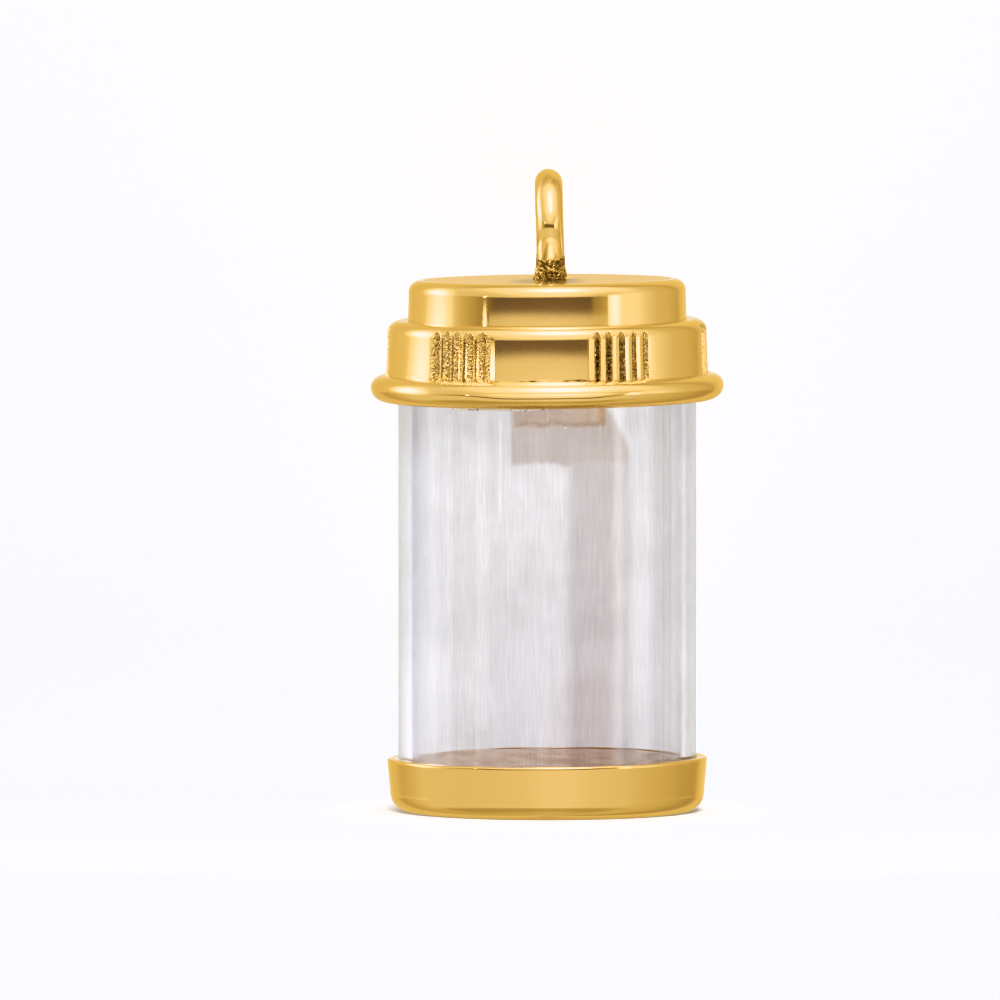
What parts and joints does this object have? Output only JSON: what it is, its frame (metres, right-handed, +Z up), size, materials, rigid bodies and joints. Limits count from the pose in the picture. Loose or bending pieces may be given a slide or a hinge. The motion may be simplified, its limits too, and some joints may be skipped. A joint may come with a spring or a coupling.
{
  "type": "bottle pendant",
  "caption": "Clear glass tube between a stepped, fluted gold cap with a soldered ring on top and a shallow gold base cup.",
  "frame": {"origin": "centre of the base cup's underside", "axes": "+Z up the bottle's axis towards the ring, -Y towards the front, +X to the right seen from the front; the ring's hole looks along X"},
  "size_m": [0.0112, 0.0112, 0.0203],
  "materials": {
    "gold": "polished yellow gold, rough cast in the grooves",
    "glass": "clear, lightly drawn"
  },
  "bodies": {
    "root": {"cap": "gold", "glass_tube": "glass", "base_cup": "gold"}
  },
  "joints": []
}
